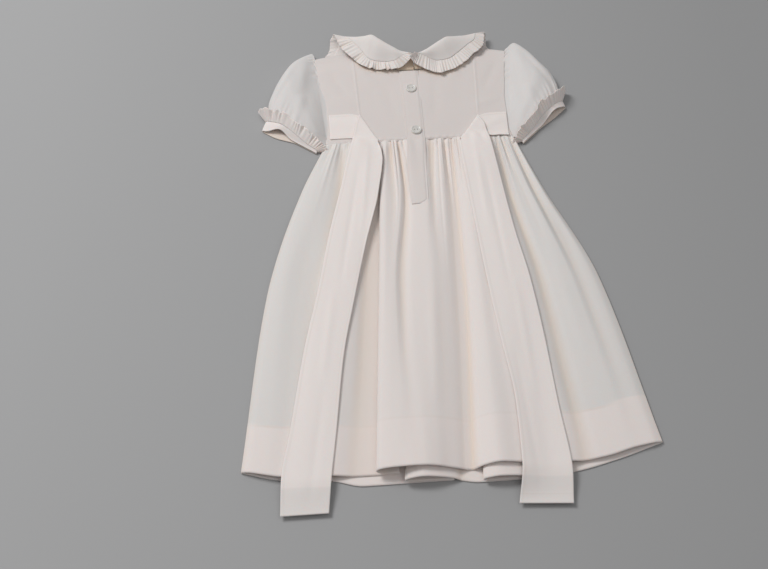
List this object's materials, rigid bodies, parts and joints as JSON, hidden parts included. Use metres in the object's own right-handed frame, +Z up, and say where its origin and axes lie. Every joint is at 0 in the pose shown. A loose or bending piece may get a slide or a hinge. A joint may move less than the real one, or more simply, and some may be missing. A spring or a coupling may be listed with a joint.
{
  "type": "christening gown",
  "caption": "Baby's gown laid face down: gathered skirt, puffed sleeves with ruffled cuffs, ruffled round collar, buttoned back band and long sash ties",
  "frame": {"origin": "centre of the footprint, on the table", "axes": "+X to the right as the back is seen, +Y from hem to neck, +Z up from the table"},
  "size_m": [0.3824, 0.5798, 0.027],
  "materials": {
    "ivory_cotton": "fine plain weave, matte, ivory",
    "shell_button": "smooth, slightly see-through white"
  },
  "bodies": {
    "root": {"front_skirt": "ivory_cotton", "back_skirt": "ivory_cotton", "front_bodice": "ivory_cotton", "back_bodice_left": "ivory_cotton", "back_bodice_right": "ivory_cotton", "button_band": "ivory_cotton", "sash_left": "ivory_cotton", "sash_right": "ivory_cotton", "sleeve_left": "ivory_cotton", "sleeve_right": "ivory_cotton", "cuff_left": "ivory_cotton", "cuff_right": "ivory_cotton", "cuff_ruffle_left": "ivory_cotton", "cuff_ruffle_right": "ivory_cotton", "collar_left": "ivory_cotton", "collar_right": "ivory_cotton", "collar_ruffle_left": "ivory_cotton", "collar_ruffle_right": "ivory_cotton", "button_upper": "shell_button", "button_lower": "shell_button"}
  },
  "joints": []
}
